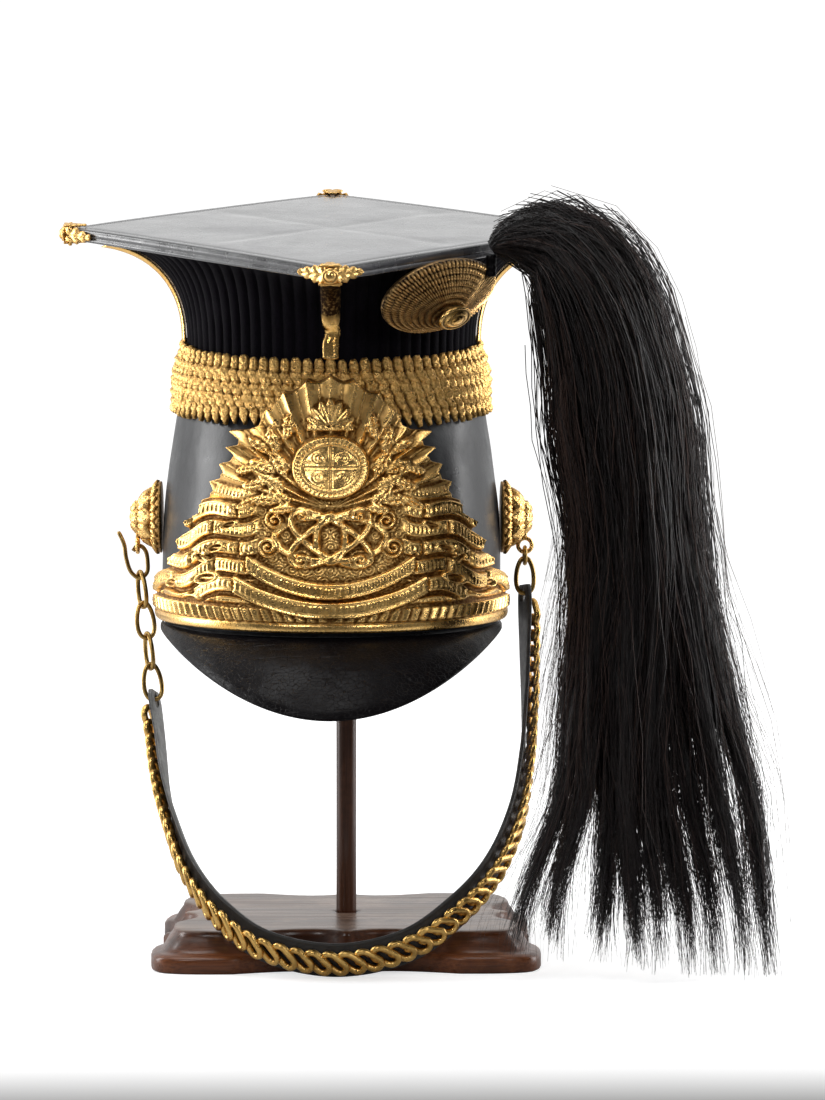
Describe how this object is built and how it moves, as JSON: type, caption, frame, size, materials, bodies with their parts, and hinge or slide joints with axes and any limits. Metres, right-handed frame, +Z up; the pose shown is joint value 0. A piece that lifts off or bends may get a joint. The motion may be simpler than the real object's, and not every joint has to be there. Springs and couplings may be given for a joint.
{
  "type": "czapka lancer cap on a wooden display stand",
  "caption": "Square-topped lancer's cap with gilt plate, waist band, cockade, chin chain and falling horsehair plume, on a rod stand with a moulded base.",
  "frame": {"origin": "centre of the stand's underside, on the surface it stands on", "axes": "+Z up, -Y towards the front of the cap, +X towards the wearer's left, where the plume hangs"},
  "size_m": [0.3258, 0.2712, 0.3755],
  "materials": {
    "patent_leather": "glossy",
    "dull_leather": "satin",
    "ribbed_cloth": "matt, ribbed",
    "gilt_brass": "polished gilt",
    "aged_brass": "aged",
    "horsehair": "silky",
    "strap_leather": "satin",
    "stand_wood": "polished"
  },
  "bodies": {
    "root": {"skull": "patent_leather", "board": "patent_leather", "peak": "dull_leather", "plume_socket": "dull_leather", "cloth_top": "ribbed_cloth", "waist_band": "gilt_brass", "front_plate": "gilt_brass", "corner_leaf_right": "gilt_brass", "corner_leaf_back": "gilt_brass", "corner_leaf_left": "gilt_brass", "corner_leaf_front": "gilt_brass", "ridge_strip_right": "gilt_brass", "ridge_strip_back": "gilt_brass", "ridge_strip_left": "gilt_brass", "ridge_strip_front": "gilt_brass", "boss_left": "gilt_brass", "boss_right": "gilt_brass", "cockade": "gilt_brass", "cockade_button": "gilt_brass", "chain_hook": "aged_brass", "link_left_1": "aged_brass", "link_left_2": "aged_brass", "link_left_3": "aged_brass", "link_left_4": "aged_brass", "link_right_1": "aged_brass", "ring_right": "aged_brass", "curb_chain": "aged_brass", "plume": "horsehair", "chin_strap": "strap_leather", "stand_base": "stand_wood", "stand_rod": "stand_wood"}
  },
  "joints": []
}
